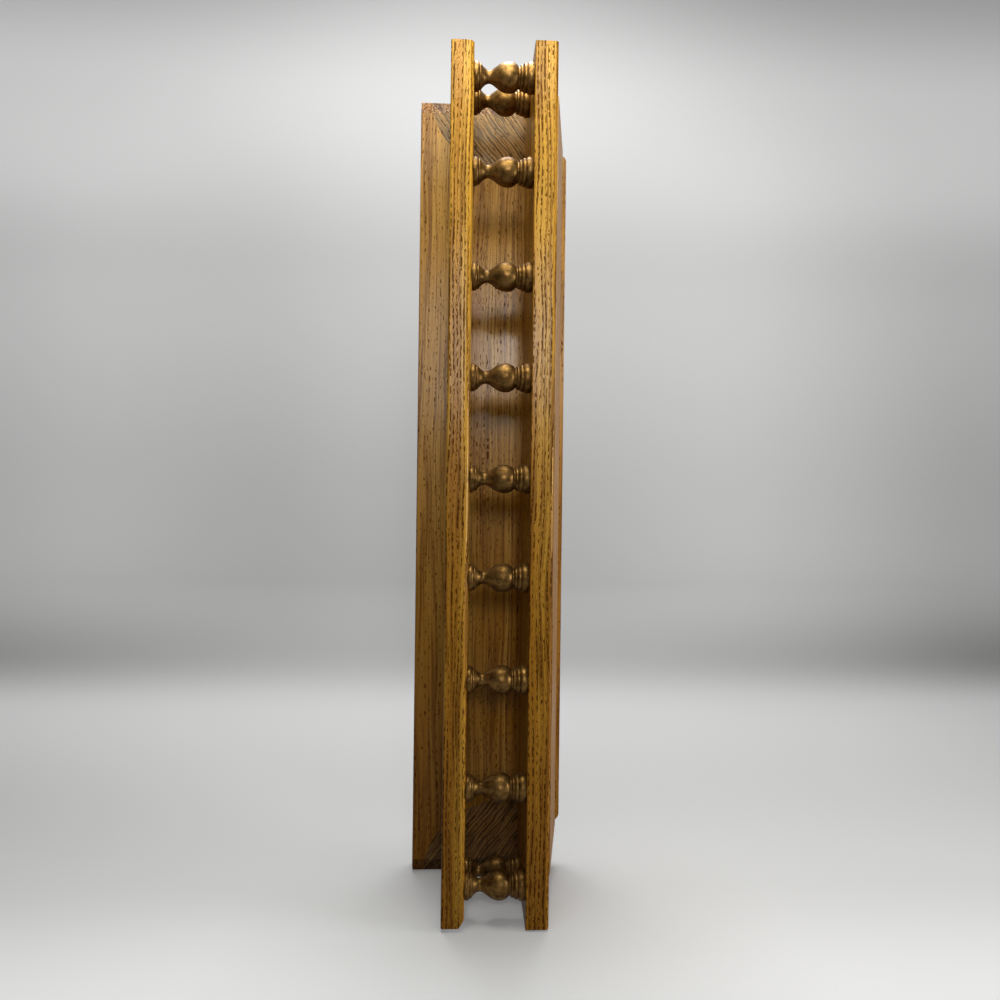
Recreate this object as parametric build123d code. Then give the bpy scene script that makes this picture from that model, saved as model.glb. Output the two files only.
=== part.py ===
"""Oak wall shelf with a low gallery of turned spindles. Millimetres, +Z up.

X runs along the shelf, -Y faces the room and the wall touches Y = 0.
Z = 0 is the top surface of the shelf board. The shelf butts against the front
of the back board; the gallery rail stands on spindles along the front and sides.
"""
import os

from build123d import *

# Shelf board
SHELF_LENGTH = 610.0
SHELF_DEPTH = 85.6
SHELF_THICKNESS = 16.0
NOSE_RADIUS = 2.4
EDGE_EASE = 0.8

# Back board: a tall upper part, and an apron below the shelf with its corners cut away
BACK_THICKNESS = 16.0
BACK_RISE = 83.2
BACK_OVERHANG = 1.0
BEVEL_WIDTH = 10.0
BEVEL_DEPTH = 4.0
APRON_LENGTH = 532.0
APRON_DROP = 16.8
APRON_CORNER_RADIUS = 6.0

# Tapered board under the shelf
SOFFIT_LENGTH = 536.0
SOFFIT_SETBACK = 2.0
SOFFIT_FRONT_THICKNESS = 0.5
SOFFIT_BACK_THICKNESS = 14.0

# Gallery rails
RAIL_DEPTH = 20.0
RAIL_HEIGHT = 16.0
RAIL_SETBACK = 1.5
RAIL_LOWER_RADIUS = 4.0
RAIL_UPPER_RADIUS = 1.6
RAIL_END_CUT_LENGTH = 5.0
RAIL_END_CUT_HEIGHT = 4.0
SIDE_ROW_INSET = 18.0

# Turned spindles: outline as shares of the foot's radius and of the height between the shoulders
SPINDLE_HEIGHT = 42.0
SPINDLE_DIAMETER = 20.8
SPINDLE_SETBACK = 0.2
TENON_DIAMETER = 8.0
TENON_LENGTH = 7.0
SPINDLE_OUTLINE_SHARES = (
    ("arc", (1.0, 0.055), (0.96, 0.106)),
    ("line", (0.875, 0.119)),
    ("arc", (0.915, 0.150), (0.84, 0.180)),
    ("line", (0.785, 0.190)),
    ("arc", (0.815, 0.213), (0.745, 0.236)),
    ("line", (0.69, 0.243)),
    ("arc", (0.675, 0.256), (0.70, 0.269)),
    ("curve", (0.88, 0.325), (0.962, 0.42), (0.85, 0.545), (0.60, 0.645), (0.41, 0.755), (0.53, 0.825), (0.73, 0.875)),
    ("line", (0.79, 0.883)),
    ("arc", (0.825, 0.898), (0.79, 0.913)),
    ("line", (0.875, 0.920)),
    ("arc", (0.93, 0.955), (0.90, 1.0)),
)
FOOT_RADIUS_SHARE = 0.93
# Places of the front spindles along half the shelf, as the maker set them: a little uneven
FRONT_STATION_SHARES = (0.932, 0.715, 0.475, 0.244, 0.013, -0.213, -0.446, -0.692, -0.914)
SIDE_STATION_SHARE = 0.5

# Dowels
DOWEL_DIAMETER = 5.0
DOWEL_LENGTH = 22.0
DOWEL_HEIGHT_SHARE = 0.7
BACK_DOWEL_SHARE = 0.4
SOFFIT_DOWEL_LENGTH = 14.0
SOFFIT_DOWEL_SHARES = (-0.8, -0.27, 0.27, 0.8)
SOFFIT_DOWEL_SETBACK = 16.0

# Countersunk screws through the back board into the rear edge of the shelf
SCREW_DIAMETER = 4.0
SCREW_HEAD_DIAMETER = 8.0
SCREW_HEAD_HEIGHT = 2.2
SCREW_LENGTH = 38.0
SCREW_POINT = 4.0
SCREW_SUNK = 0.4
SCREW_STATION_SHARES = (-0.86, -0.43, 0.0, 0.43, 0.86)

# Keyhole hanger plates, let into the wall face
KEYHOLE_SPACING = 406.4
KEYHOLE_HEIGHT = 48.0
PLATE_WIDTH = 16.0
PLATE_LENGTH = 44.0
PLATE_THICKNESS = 2.0
ENTRY_DIAMETER = 9.5
SLOT_WIDTH = 5.0
SLOT_TRAVEL = 11.0
HEAD_CAVITY_DEPTH = 6.0
HEAD_CAVITY_WIDTH = 11.0
PLATE_SCREW_SPACING = 34.0
PLATE_SCREW_DIAMETER = 2.6
PLATE_SCREW_HEAD_DIAMETER = 4.6
PLATE_SCREW_HEAD_HEIGHT = 1.1
PLATE_SCREW_LENGTH = 11.0
PLATE_SCREW_POINT = 2.5
PLATE_SCREW_SUNK = 0.1

# Cross recess in every screw head
RECESS_WIDTH_SHARE = 0.14
RECESS_SPAN_SHARE = 0.62
RECESS_DEPTH_SHARE = 0.6

CLEARANCE = 0.3
END_GAP = 0.5
OVERRUN = 1.0

SHELF_BOTTOM = -SHELF_THICKNESS
SHELF_BACK = -BACK_THICKNESS
FRONT = SHELF_BACK - SHELF_DEPTH
HALF_SHELF = SHELF_LENGTH / 2
HALF_BACK = HALF_SHELF + BACK_OVERHANG
APRON_BOTTOM = SHELF_BOTTOM - APRON_DROP
RAIL_LENGTH = SHELF_LENGTH - 2 * RAIL_SETBACK
RAIL_BOTTOM = SPINDLE_HEIGHT
RAIL_BACK = FRONT + RAIL_DEPTH
FRONT_ROW_Y = FRONT + SPINDLE_DIAMETER / 2 + SPINDLE_SETBACK
SIDE_ROW_X = HALF_SHELF - SIDE_ROW_INSET
SIDE_ROW_Y = FRONT_ROW_Y + (SHELF_BACK - FRONT_ROW_Y) * SIDE_STATION_SHARE
SIDES = {"left": -1, "right": 1}

FRONT_PLACES = [(share * HALF_SHELF, FRONT_ROW_Y) for share in FRONT_STATION_SHARES]
SIDE_PLACES = {name: (sign * SIDE_ROW_X, SIDE_ROW_Y) for name, sign in SIDES.items()}
SCREW_XS = [share * HALF_SHELF for share in SCREW_STATION_SHARES]
SCREW_Z = SHELF_BOTTOM / 2
SOFFIT_DOWEL_XS = [share * SOFFIT_LENGTH / 2 for share in SOFFIT_DOWEL_SHARES]
SOFFIT_DOWEL_Y = SHELF_BACK - SOFFIT_DOWEL_SETBACK
DOWEL_Z = RAIL_BOTTOM + RAIL_HEIGHT * DOWEL_HEIGHT_SHARE
BACK_DOWEL_DEPTH = DOWEL_LENGTH * BACK_DOWEL_SHARE


def block(x0, x1, y0, y1, z0, z1):
    """A box between two corners."""
    corner = (Align.MIN, Align.MIN, Align.MIN)
    return Pos(x0, y0, z0) * Box(x1 - x0, y1 - y0, z1 - z0, align=corner)


def rod(x, y, z, direction, radius, length):
    """A cylinder that starts at a point and runs along a direction."""
    plane = Plane(origin=(x, y, z), z_dir=direction)
    return plane * Cylinder(radius, length, align=(Align.CENTER, Align.CENTER, Align.MIN))


def hole(x, y, z, direction, diameter, depth):
    """A blind hole for a round piece, with its clearance and the gap at its end."""
    return rod(x, y, z, direction, diameter / 2 + CLEARANCE, depth + END_GAP)


def front_edges(part, axis=Axis.X):
    """The edges along an axis in the part's front face, lowest first."""
    return part.edges().filter_by(axis).group_by(Axis.Y)[0].sort_by(Axis.Z)


def screw_outline(diameter, head_diameter, head_height, length, tip, grow=0.0):
    """Half the outline of a countersunk screw whose head is at the origin and whose tip is up."""
    shank, head = diameter / 2 + grow, head_diameter / 2 + grow
    return [(0, 0), (head, 0), (shank, head_height), (shank, length - tip), (0, length)]


def turned(points, place, direction):
    """Turn an outline of (radius, height) points about a direction through a place."""
    outline = make_face(Plane.XZ * Polyline(*points, close=True))
    return Plane(origin=place, z_dir=direction) * revolve(outline, Axis.Z)


def cross_recess(head_diameter, head_height, place, direction):
    """The cross cut into a screw head."""
    width, span = head_diameter * RECESS_WIDTH_SHARE, head_diameter * RECESS_SPAN_SHARE
    depth = head_height * RECESS_DEPTH_SHARE
    bar = Box(span, width, 2 * depth)
    return Plane(origin=place, z_dir=direction) * (bar + Rot(0, 0, 90) * bar)


def countersunk_screw(place, direction, diameter, head_diameter, head_height, length, tip):
    """A countersunk wood screw with a cross recess."""
    points = screw_outline(diameter, head_diameter, head_height, length, tip)
    return turned(points, place, direction) - cross_recess(head_diameter, head_height, place, direction)


def screw_seat(place, direction, diameter, head_diameter, head_height, length, sunk):
    """The countersunk hole for a screw whose head lies below the surface."""
    points = screw_outline(diameter, head_diameter, head_height, length + END_GAP, 0.0, CLEARANCE)
    mouth = rod(*place, [-part for part in direction], head_diameter / 2 + CLEARANCE, sunk + OVERRUN)
    return turned(points, place, direction) + mouth


def shelf_screw_places():
    return [(x, -SCREW_SUNK, SCREW_Z) for x in SCREW_XS]


def shelf_screw_seat(place):
    sizes = (SCREW_DIAMETER, SCREW_HEAD_DIAMETER, SCREW_HEAD_HEIGHT, SCREW_LENGTH, SCREW_SUNK)
    return screw_seat(place, (0, -1, 0), *sizes)


def plate_screw_places(sign):
    x, y = sign * KEYHOLE_SPACING / 2, -PLATE_SCREW_SUNK
    return [(x, y, KEYHOLE_HEIGHT + end * PLATE_SCREW_SPACING / 2) for end in (-1, 1)]


def plate_screw_seat(place):
    sizes = (PLATE_SCREW_DIAMETER, PLATE_SCREW_HEAD_DIAMETER, PLATE_SCREW_HEAD_HEIGHT, PLATE_SCREW_LENGTH)
    return screw_seat(place, (0, -1, 0), *sizes, PLATE_SCREW_SUNK)


def upright_slot(x, z, width, travel, depth, y=0.0):
    """A round-ended slot in the wall face: from z up by its travel, cut forward by a depth."""
    shape = rod(x, y, z, (0, -1, 0), width / 2, depth) + rod(x, y, z + travel, (0, -1, 0), width / 2, depth)
    return shape + block(x - width / 2, x + width / 2, y - depth, y, z, z + travel)


def plate_body(sign, grow=0.0):
    """The round-ended outline of a hanger plate, flush with the wall face."""
    travel = PLATE_LENGTH - PLATE_WIDTH
    x, z = sign * KEYHOLE_SPACING / 2, KEYHOLE_HEIGHT - travel / 2
    return upright_slot(x, z, PLATE_WIDTH + 2 * grow, travel, PLATE_THICKNESS)


def spindle_sockets(z, direction):
    """Sockets for every spindle's tenon, from a surface at z."""
    places = FRONT_PLACES + list(SIDE_PLACES.values())
    return [hole(x, y, z, direction, TENON_DIAMETER, TENON_LENGTH) for x, y in places]


def make_shelf():
    shelf = block(-HALF_SHELF, HALF_SHELF, FRONT, SHELF_BACK, SHELF_BOTTOM, 0)
    shelf = fillet(front_edges(shelf)[0], min(NOSE_RADIUS, SHELF_THICKNESS / 3))
    shelf = fillet(front_edges(shelf)[-1], EDGE_EASE)
    shelf -= spindle_sockets(0, (0, 0, -1))
    shelf -= [shelf_screw_seat(place) for place in shelf_screw_places()]
    depth = SOFFIT_DOWEL_LENGTH / 2
    return shelf - [hole(x, SOFFIT_DOWEL_Y, SHELF_BOTTOM, (0, 0, 1), DOWEL_DIAMETER, depth) for x in SOFFIT_DOWEL_XS]


def end_bevel(sign):
    """The wedge taken off the front of the back board at one end, down to the shelf."""
    end, inner = sign * (HALF_BACK + OVERRUN), sign * (HALF_BACK - BEVEL_WIDTH)
    slope = BEVEL_DEPTH / BEVEL_WIDTH
    back = SHELF_BACK + BEVEL_DEPTH + OVERRUN * slope
    wedge = make_face(Polyline((inner, SHELF_BACK), (end, back), (end, SHELF_BACK), close=True))
    return extrude(wedge, BACK_RISE + OVERRUN)


def make_back_board():
    board = block(-HALF_BACK, HALF_BACK, SHELF_BACK, 0, SHELF_BOTTOM, BACK_RISE)
    apron = block(-APRON_LENGTH / 2, APRON_LENGTH / 2, SHELF_BACK, 0, APRON_BOTTOM, SHELF_BOTTOM)
    corners = apron.edges().filter_by(Axis.Y).group_by(Axis.Z)[0]
    board += fillet(corners, min(APRON_CORNER_RADIUS, APRON_DROP / 2))
    board = fillet(front_edges(board)[-1], EDGE_EASE)
    board -= [end_bevel(sign) for sign in SIDES.values()]
    board -= [shelf_screw_seat(place) for place in shelf_screw_places()]
    for sign in SIDES.values():
        x = sign * KEYHOLE_SPACING / 2
        board -= plate_body(sign, CLEARANCE)
        cavity = HEAD_CAVITY_DEPTH + PLATE_THICKNESS
        board -= upright_slot(x, KEYHOLE_HEIGHT - SLOT_TRAVEL / 2, HEAD_CAVITY_WIDTH, SLOT_TRAVEL, cavity)
        board -= [plate_screw_seat(place) for place in plate_screw_places(sign)]
        board -= hole(sign * SIDE_ROW_X, SHELF_BACK, DOWEL_Z, (0, 1, 0), DOWEL_DIAMETER, BACK_DOWEL_DEPTH)
    return board


def make_soffit():
    front = FRONT + SOFFIT_SETBACK
    outline = Polyline(
        (SHELF_BACK, SHELF_BOTTOM),
        (SHELF_BACK, SHELF_BOTTOM - SOFFIT_BACK_THICKNESS),
        (front, SHELF_BOTTOM - SOFFIT_FRONT_THICKNESS),
        (front, SHELF_BOTTOM),
        close=True,
    )
    board = extrude(make_face(Plane.YZ * outline), SOFFIT_LENGTH / 2, both=True)
    depth = SOFFIT_DOWEL_LENGTH / 2
    return board - [hole(x, SOFFIT_DOWEL_Y, SHELF_BOTTOM, (0, 0, -1), DOWEL_DIAMETER, depth) for x in SOFFIT_DOWEL_XS]


def rail_end_cut(sign):
    """The corner taken off the underside of the front rail at one end."""
    end, inner = sign * (RAIL_LENGTH / 2 + OVERRUN), sign * (RAIL_LENGTH / 2 - RAIL_END_CUT_LENGTH)
    slope = RAIL_END_CUT_HEIGHT / RAIL_END_CUT_LENGTH
    top = RAIL_BOTTOM + RAIL_END_CUT_HEIGHT + OVERRUN * slope
    wedge = make_face(Plane.XZ * Polyline((inner, RAIL_BOTTOM), (end, top), (end, RAIL_BOTTOM), close=True))
    return Pos(0, RAIL_BACK + OVERRUN, 0) * extrude(wedge, RAIL_DEPTH + 2 * OVERRUN)


def make_front_rail():
    half = RAIL_LENGTH / 2
    rail = block(-half, half, FRONT, RAIL_BACK, RAIL_BOTTOM, RAIL_BOTTOM + RAIL_HEIGHT)
    rail = fillet(front_edges(rail)[0], min(RAIL_LOWER_RADIUS, RAIL_HEIGHT / 3))
    rail = fillet(front_edges(rail)[-1], min(RAIL_UPPER_RADIUS, RAIL_HEIGHT / 3))
    rail -= [rail_end_cut(sign) for sign in SIDES.values()]
    rail -= [hole(x, y, RAIL_BOTTOM, (0, 0, 1), TENON_DIAMETER, TENON_LENGTH) for x, y in FRONT_PLACES]
    depth = DOWEL_LENGTH / 2
    return rail - [hole(sign * SIDE_ROW_X, RAIL_BACK, DOWEL_Z, (0, -1, 0), DOWEL_DIAMETER, depth)
                   for sign in SIDES.values()]


def make_side_rail(name):
    x, y = SIDE_PLACES[name]
    rail = block(x - RAIL_DEPTH / 2, x + RAIL_DEPTH / 2, RAIL_BACK, SHELF_BACK, RAIL_BOTTOM, RAIL_BOTTOM + RAIL_HEIGHT)
    outer = rail.edges().filter_by(Axis.Y).group_by(Axis.Z)[-1]
    rail = fillet(outer, min(RAIL_UPPER_RADIUS, RAIL_HEIGHT / 3))
    rail -= hole(x, y, RAIL_BOTTOM, (0, 0, 1), TENON_DIAMETER, TENON_LENGTH)
    rail -= hole(x, RAIL_BACK, DOWEL_Z, (0, 1, 0), DOWEL_DIAMETER, DOWEL_LENGTH / 2)
    return rail - hole(x, SHELF_BACK, DOWEL_Z, (0, -1, 0), DOWEL_DIAMETER, DOWEL_LENGTH - BACK_DOWEL_DEPTH)


def make_spindle(x, y):
    """One turned spindle between the shelf and the rail, with a round tenon at each end."""
    radius, tenon = SPINDLE_DIAMETER / 2, TENON_DIAMETER / 2
    top = SPINDLE_HEIGHT + TENON_LENGTH
    at = (FOOT_RADIUS_SHARE * radius, 0)
    edges = [Line((0, -TENON_LENGTH), (tenon, -TENON_LENGTH)), Line((tenon, -TENON_LENGTH), (tenon, 0)),
             Line((tenon, 0), at)]
    for kind, *shares in SPINDLE_OUTLINE_SHARES:
        points = [at] + [(r * radius, z * SPINDLE_HEIGHT) for r, z in shares]
        make = {"line": Line, "arc": ThreePointArc, "curve": Spline}[kind]
        edges.append(make(*points))
        at = points[-1]
    edges += [Line(at, (tenon, SPINDLE_HEIGHT)), Line((tenon, SPINDLE_HEIGHT), (tenon, top)),
              Line((tenon, top), (0, top)), Line((0, top), (0, -TENON_LENGTH))]
    outline = make_face([Plane.XZ * edge for edge in edges])
    return Pos(x, y, 0) * revolve(outline, Axis.Z)


def make_keyhole_plate(sign):
    x, low = sign * KEYHOLE_SPACING / 2, KEYHOLE_HEIGHT - SLOT_TRAVEL / 2
    plate = plate_body(sign)
    plate -= rod(x, OVERRUN, low, (0, -1, 0), ENTRY_DIAMETER / 2, PLATE_THICKNESS + 2 * OVERRUN)
    plate -= upright_slot(x, low, SLOT_WIDTH, SLOT_TRAVEL, PLATE_THICKNESS + 2 * OVERRUN, OVERRUN)
    return plate - [plate_screw_seat(place) for place in plate_screw_places(sign)]


def make_gallery_dowels():
    radius = DOWEL_DIAMETER / 2
    dowels = []
    for sign in SIDES.values():
        x = sign * SIDE_ROW_X
        dowels.append(rod(x, RAIL_BACK - DOWEL_LENGTH / 2, DOWEL_Z, (0, 1, 0), radius, DOWEL_LENGTH))
        dowels.append(rod(x, SHELF_BACK + BACK_DOWEL_DEPTH, DOWEL_Z, (0, -1, 0), radius, DOWEL_LENGTH))
    return dowels


def make_soffit_dowels():
    radius, low = DOWEL_DIAMETER / 2, SHELF_BOTTOM - SOFFIT_DOWEL_LENGTH / 2
    return [rod(x, SOFFIT_DOWEL_Y, low, (0, 0, 1), radius, SOFFIT_DOWEL_LENGTH) for x in SOFFIT_DOWEL_XS]


def make_shelf_screws():
    sizes = (SCREW_DIAMETER, SCREW_HEAD_DIAMETER, SCREW_HEAD_HEIGHT, SCREW_LENGTH, SCREW_POINT)
    return [countersunk_screw(place, (0, -1, 0), *sizes) for place in shelf_screw_places()]


def make_plate_screws():
    sizes = (PLATE_SCREW_DIAMETER, PLATE_SCREW_HEAD_DIAMETER, PLATE_SCREW_HEAD_HEIGHT,
             PLATE_SCREW_LENGTH, PLATE_SCREW_POINT)
    places = plate_screw_places(SIDES["left"]) + plate_screw_places(SIDES["right"])
    return [countersunk_screw(place, (0, -1, 0), *sizes) for place in places]


def make_nodes():
    nodes = {
        "shelf_board": make_shelf(),
        "back_board": make_back_board(),
        "soffit_board": make_soffit(),
        "gallery_front_rail": make_front_rail(),
        "gallery_dowels": Compound(children=make_gallery_dowels()),
        "soffit_dowels": Compound(children=make_soffit_dowels()),
        "shelf_screws": Compound(children=make_shelf_screws()),
        "keyhole_plate_screws": Compound(children=make_plate_screws()),
    }
    for name, sign in SIDES.items():
        nodes[f"gallery_side_rail_{name}"] = make_side_rail(name)
        nodes[f"side_spindle_{name}"] = make_spindle(*SIDE_PLACES[name])
        nodes[f"keyhole_plate_{name}"] = make_keyhole_plate(sign)
    for number, place in enumerate(FRONT_PLACES, start=1):
        nodes[f"front_spindle_{number}"] = make_spindle(*place)
    return nodes


os.makedirs("parts", exist_ok=True)
for node, shape in make_nodes().items():
    export_step(shape, f"parts/{node}.step")
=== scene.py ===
"""Looks for an oak wall shelf with a gallery of turned spindles.

Metres. X runs along the shelf, Z is up in use and the wall lies at Y = 0. The shelf is shown standing on its
-X end in front of a pale sweep, with the camera turned on its side to suit.
"""

import logging
import math
from dataclasses import dataclass
from enum import Enum

import bpy
import numpy as np
from mathutils import Matrix, Vector

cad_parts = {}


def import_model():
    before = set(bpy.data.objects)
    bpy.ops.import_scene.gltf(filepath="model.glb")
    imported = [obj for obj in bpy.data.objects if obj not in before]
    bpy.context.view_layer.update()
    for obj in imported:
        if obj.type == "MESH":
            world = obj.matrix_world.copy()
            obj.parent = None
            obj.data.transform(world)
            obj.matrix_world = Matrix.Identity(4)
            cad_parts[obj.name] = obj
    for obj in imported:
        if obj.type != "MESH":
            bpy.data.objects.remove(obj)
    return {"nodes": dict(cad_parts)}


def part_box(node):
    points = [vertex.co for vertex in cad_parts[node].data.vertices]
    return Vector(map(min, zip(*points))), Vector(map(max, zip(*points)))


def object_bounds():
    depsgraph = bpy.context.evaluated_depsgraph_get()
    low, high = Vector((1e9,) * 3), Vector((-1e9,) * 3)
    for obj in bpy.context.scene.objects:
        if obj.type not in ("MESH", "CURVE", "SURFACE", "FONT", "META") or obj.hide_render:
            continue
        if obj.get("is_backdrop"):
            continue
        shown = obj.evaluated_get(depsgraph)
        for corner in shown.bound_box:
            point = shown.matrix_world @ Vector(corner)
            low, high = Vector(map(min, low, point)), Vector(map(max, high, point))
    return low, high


LOG = logging.getLogger("shelf")

Colour = tuple[float, float, float]
Point = tuple[float, float, float]
Stretch = tuple[float, float, float]
Span = tuple[float, float]


def srgb(red: int, green: int, blue: int) -> Colour:
    """Turn a display colour of 0 to 255 into scene-linear values.

    Args:
        red: Display red.
        green: Display green.
        blue: Display blue.

    Returns:
        The linear colour.
    """
    def linear(value: int) -> float:
        share = value / 255
        return share / 12.92 if share <= 0.04045 else ((share + 0.055) / 1.055) ** 2.4

    return linear(red), linear(green), linear(blue)


class GrainRun(Enum):
    """Which way the grain of a wooden piece runs."""

    LENGTH = "along the shelf"
    DEPTH = "from the room to the wall"


class NodeDesk:
    """A node tree with short ways to add and join nodes."""

    def __init__(self, tree: bpy.types.NodeTree) -> None:
        """Keep the tree to work on."""
        self.tree = tree

    def add(self, kind: str, **settings: object) -> bpy.types.Node:
        """Add a node and set its properties.

        Args:
            kind: The node's type name.
            **settings: Properties by name.

        Returns:
            The new node.
        """
        node = self.tree.nodes.new(kind)
        for name, value in settings.items():
            setattr(node, name, value)
        return node

    def feed(self, socket: bpy.types.NodeSocket, value: object) -> None:
        """Link a socket's source, or set its plain value.

        Args:
            socket: The input to fill.
            value: An output socket, a number or a tuple.
        """
        if isinstance(value, bpy.types.NodeSocket):
            self.tree.links.new(value, socket)
        else:
            socket.default_value = value

    def math(self, operation: str, first: object, second: object = 0.0, third: object = 0.0,
             clamp: bool = False) -> bpy.types.NodeSocket:
        """Join up to three numbers by a math operation.

        Args:
            operation: The Math node's operation.
            first: The first number or socket.
            second: The second number or socket.
            third: The third number or socket.
            clamp: Whether the result stays in 0 to 1.

        Returns:
            The result's socket.
        """
        node = self.add("ShaderNodeMath", operation=operation, use_clamp=clamp)
        for socket, value in zip(node.inputs, (first, second, third)):
            self.feed(socket, value)
        return node.outputs[0]

    def vector(self, operation: str, first: object, second: object = (0.0, 0.0, 0.0)) -> bpy.types.NodeSocket:
        """Join two vectors by a vector operation.

        Args:
            operation: The Vector Math node's operation.
            first: The first vector or socket.
            second: The second vector or socket.

        Returns:
            The result's socket.
        """
        node = self.add("ShaderNodeVectorMath", operation=operation)
        self.feed(node.inputs[0], first)
        self.feed(node.inputs[1], second)
        return node.outputs[0]

    def split(self, vector: object) -> list[bpy.types.NodeSocket]:
        """Take a vector apart into its three numbers."""
        node = self.add("ShaderNodeSeparateXYZ")
        self.feed(node.inputs[0], vector)
        return list(node.outputs)

    def join(self, x: object, y: object, z: object) -> bpy.types.NodeSocket:
        """Put three numbers together into a vector."""
        node = self.add("ShaderNodeCombineXYZ")
        for socket, value in zip(node.inputs, (x, y, z)):
            self.feed(socket, value)
        return node.outputs[0]

    def noise(self, vector: object, scale: object = 1.0, detail: float = 2.0,
              roughness: float = 0.5) -> bpy.types.NodeSocket:
        """Sample fractal noise.

        Args:
            vector: Where to sample.
            scale: Cycles per metre.
            detail: Octaves.
            roughness: How much each octave keeps.

        Returns:
            The noise value, near 0 to 1.
        """
        node = self.add("ShaderNodeTexNoise")
        self.feed(node.inputs["Vector"], vector)
        self.feed(node.inputs["Scale"], scale)
        node.inputs["Detail"].default_value = detail
        node.inputs["Roughness"].default_value = roughness
        return node.outputs["Fac"]

    def smooth(self, value: object, low: object, high: object) -> bpy.types.NodeSocket:
        """Ramp smoothly from 0 at low to 1 at high."""
        node = self.add("ShaderNodeMapRange", interpolation_type="SMOOTHSTEP")
        for name, item in (("Value", value), ("From Min", low), ("From Max", high)):
            self.feed(node.inputs[name], item)
        return node.outputs["Result"]

    def blend(self, share: object, first: object, second: object) -> bpy.types.NodeSocket:
        """Mix two colours.

        Args:
            share: How much of the second shows.
            first: The first colour or socket.
            second: The second colour or socket.

        Returns:
            The mixed colour.
        """
        node = self.add("ShaderNodeMix", data_type="RGBA")
        self.feed(node.inputs["Factor"], share)
        for name, value in (("A", first), ("B", second)):
            socket = [s for s in node.inputs if s.name == name and s.type == "RGBA"][0]
            self.feed(socket, (*value, 1.0) if isinstance(value, tuple) and len(value) == 3 else value)
        return [s for s in node.outputs if s.type == "RGBA"][0]


class EffectGroup:
    """A shader node group with named inputs and outputs, built once and used by several finishes."""

    def __init__(self, name: str, inputs: dict[str, object], outputs: dict[str, str]) -> None:
        """Make the group's tree and its sockets.

        Args:
            name: The group's name.
            inputs: Each input's name and plain value; a tuple makes a vector socket.
            outputs: Each output's name and socket type.
        """
        self.tree = bpy.data.node_groups.new(name, "ShaderNodeTree")
        for label, value in inputs.items():
            kind = "NodeSocketVector" if isinstance(value, tuple) else "NodeSocketFloat"
            socket = self.tree.interface.new_socket(name=label, in_out="INPUT", socket_type=kind)
            socket.default_value = value
        for label, kind in outputs.items():
            self.tree.interface.new_socket(name=label, in_out="OUTPUT", socket_type=kind)
        self.desk = NodeDesk(self.tree)
        self.source = self.desk.add("NodeGroupInput").outputs
        self.sink = self.desk.add("NodeGroupOutput").inputs

    def place(self, desk: NodeDesk, **values: object) -> bpy.types.NodeOutputs:
        """Put the group in a material.

        Args:
            desk: The material's node desk.
            **values: Inputs by name, with an underscore for each space.

        Returns:
            The placed group's outputs.
        """
        node = desk.add("ShaderNodeGroup", node_tree=self.tree)
        for name, value in values.items():
            desk.feed(node.inputs[name.replace("_", " ")], value)
        return node.outputs


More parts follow.
